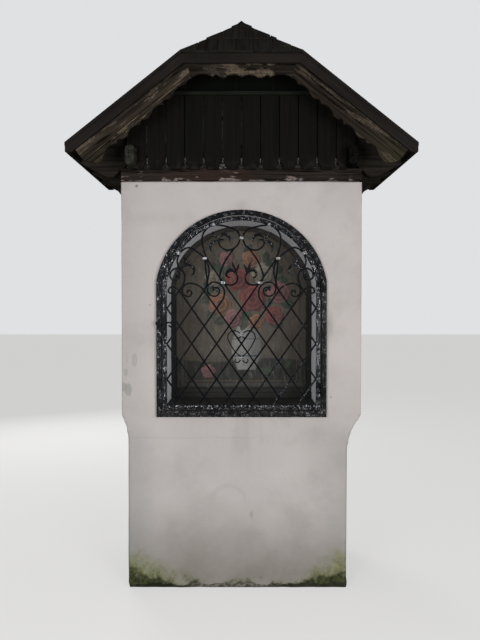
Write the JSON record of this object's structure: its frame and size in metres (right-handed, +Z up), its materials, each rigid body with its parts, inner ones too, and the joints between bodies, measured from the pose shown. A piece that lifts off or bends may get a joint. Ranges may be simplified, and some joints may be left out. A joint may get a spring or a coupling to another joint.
{
  "type": "wayside shrine",
  "caption": "Plastered roadside pillar shrine with an arched picture niche behind a hinged wrought iron grille, under a small timber roof with clipped gables.",
  "frame": {"origin": "centre of the base on the ground", "axes": "+Z up, the grille door faces -Y, +X to the right of someone facing the door"},
  "size_m": [1.784, 1.09, 3.0699],
  "materials": {
    "plaster": "lime plaster, rough, slightly dirty",
    "sill_stone": "stone slab, matt",
    "iron": "black, hammered, glossy",
    "beam": "red-brown, flaking",
    "weathered_board": "grey-brown, matt",
    "bargeboard": "tan, flaking and cracked",
    "trim": "dark brown-grey, smooth",
    "deck": "sawn, matt",
    "covering": "weathered shingles, matt",
    "picture": "painted panel, satin",
    "picture_frame": "dark grey paint, satin"
  },
  "bodies": {
    "root": {"frame_hinge_pins": "iron", "front_gable_boards": "weathered_board", "front_gable_rail": "weathered_board", "front_hip_bargeboard": "bargeboard", "front_hip_covering": "covering", "front_hip_deck": "deck", "front_left_bargeboard": "bargeboard", "front_right_bargeboard": "bargeboard", "front_tie_beam": "beam", "front_upper_gable_panel": "weathered_board", "front_verge_trim": "trim", "grille_fixed_frame": "iron", "left_eaves_board": "trim", "left_niche_pier": "plaster", "left_purlin": "weathered_board", "left_rafters": "weathered_board", "left_roof_covering": "covering", "left_roof_deck": "deck", "lower_shaft": "plaster", "niche_arch_head": "plaster", "niche_back_wall": "plaster", "niche_sill": "sill_stone", "picture_frame": "picture_frame", "picture_ledge": "picture_frame", "picture_panel": "picture", "rear_gable_boards": "weathered_board", "rear_gable_rail": "weathered_board", "rear_hip_bargeboard": "bargeboard", "rear_hip_covering": "covering", "rear_hip_deck": "deck", "rear_left_bargeboard": "bargeboard", "rear_right_bargeboard": "bargeboard", "rear_tie_beam": "beam", "rear_upper_gable_panel": "weathered_board", "rear_verge_trim": "trim", "ridge_cap": "trim", "right_eaves_board": "trim", "right_niche_pier": "plaster", "right_purlin": "weathered_board", "right_rafters": "weathered_board", "right_roof_covering": "covering", "right_roof_deck": "deck"},
    "grille_door": {"door_frame": "iron", "door_falling_bars": "iron", "door_rising_bars": "iron", "door_heart": "iron", "door_collars": "iron", "door_leaves": "iron", "door_hinge_knuckles": "iron", "lock_plate": "iron"},
    "latch_handle": {"latch_handle": "iron"}
  },
  "joints": [
    {"name": "door_hinge", "type": "hinge", "parent": "root", "child": "grille_door", "pos_m": [0.4285, -0.3535, 1.3], "axis": [0, 0, 1], "range_deg": [0, 160]},
    {"name": "latch_turn", "type": "hinge", "parent": "grille_door", "child": "latch_handle", "pos_m": [-0.414, -0.3493, 1.437], "axis": [0, -1, 0], "range_deg": [0, 90]}
  ]
}
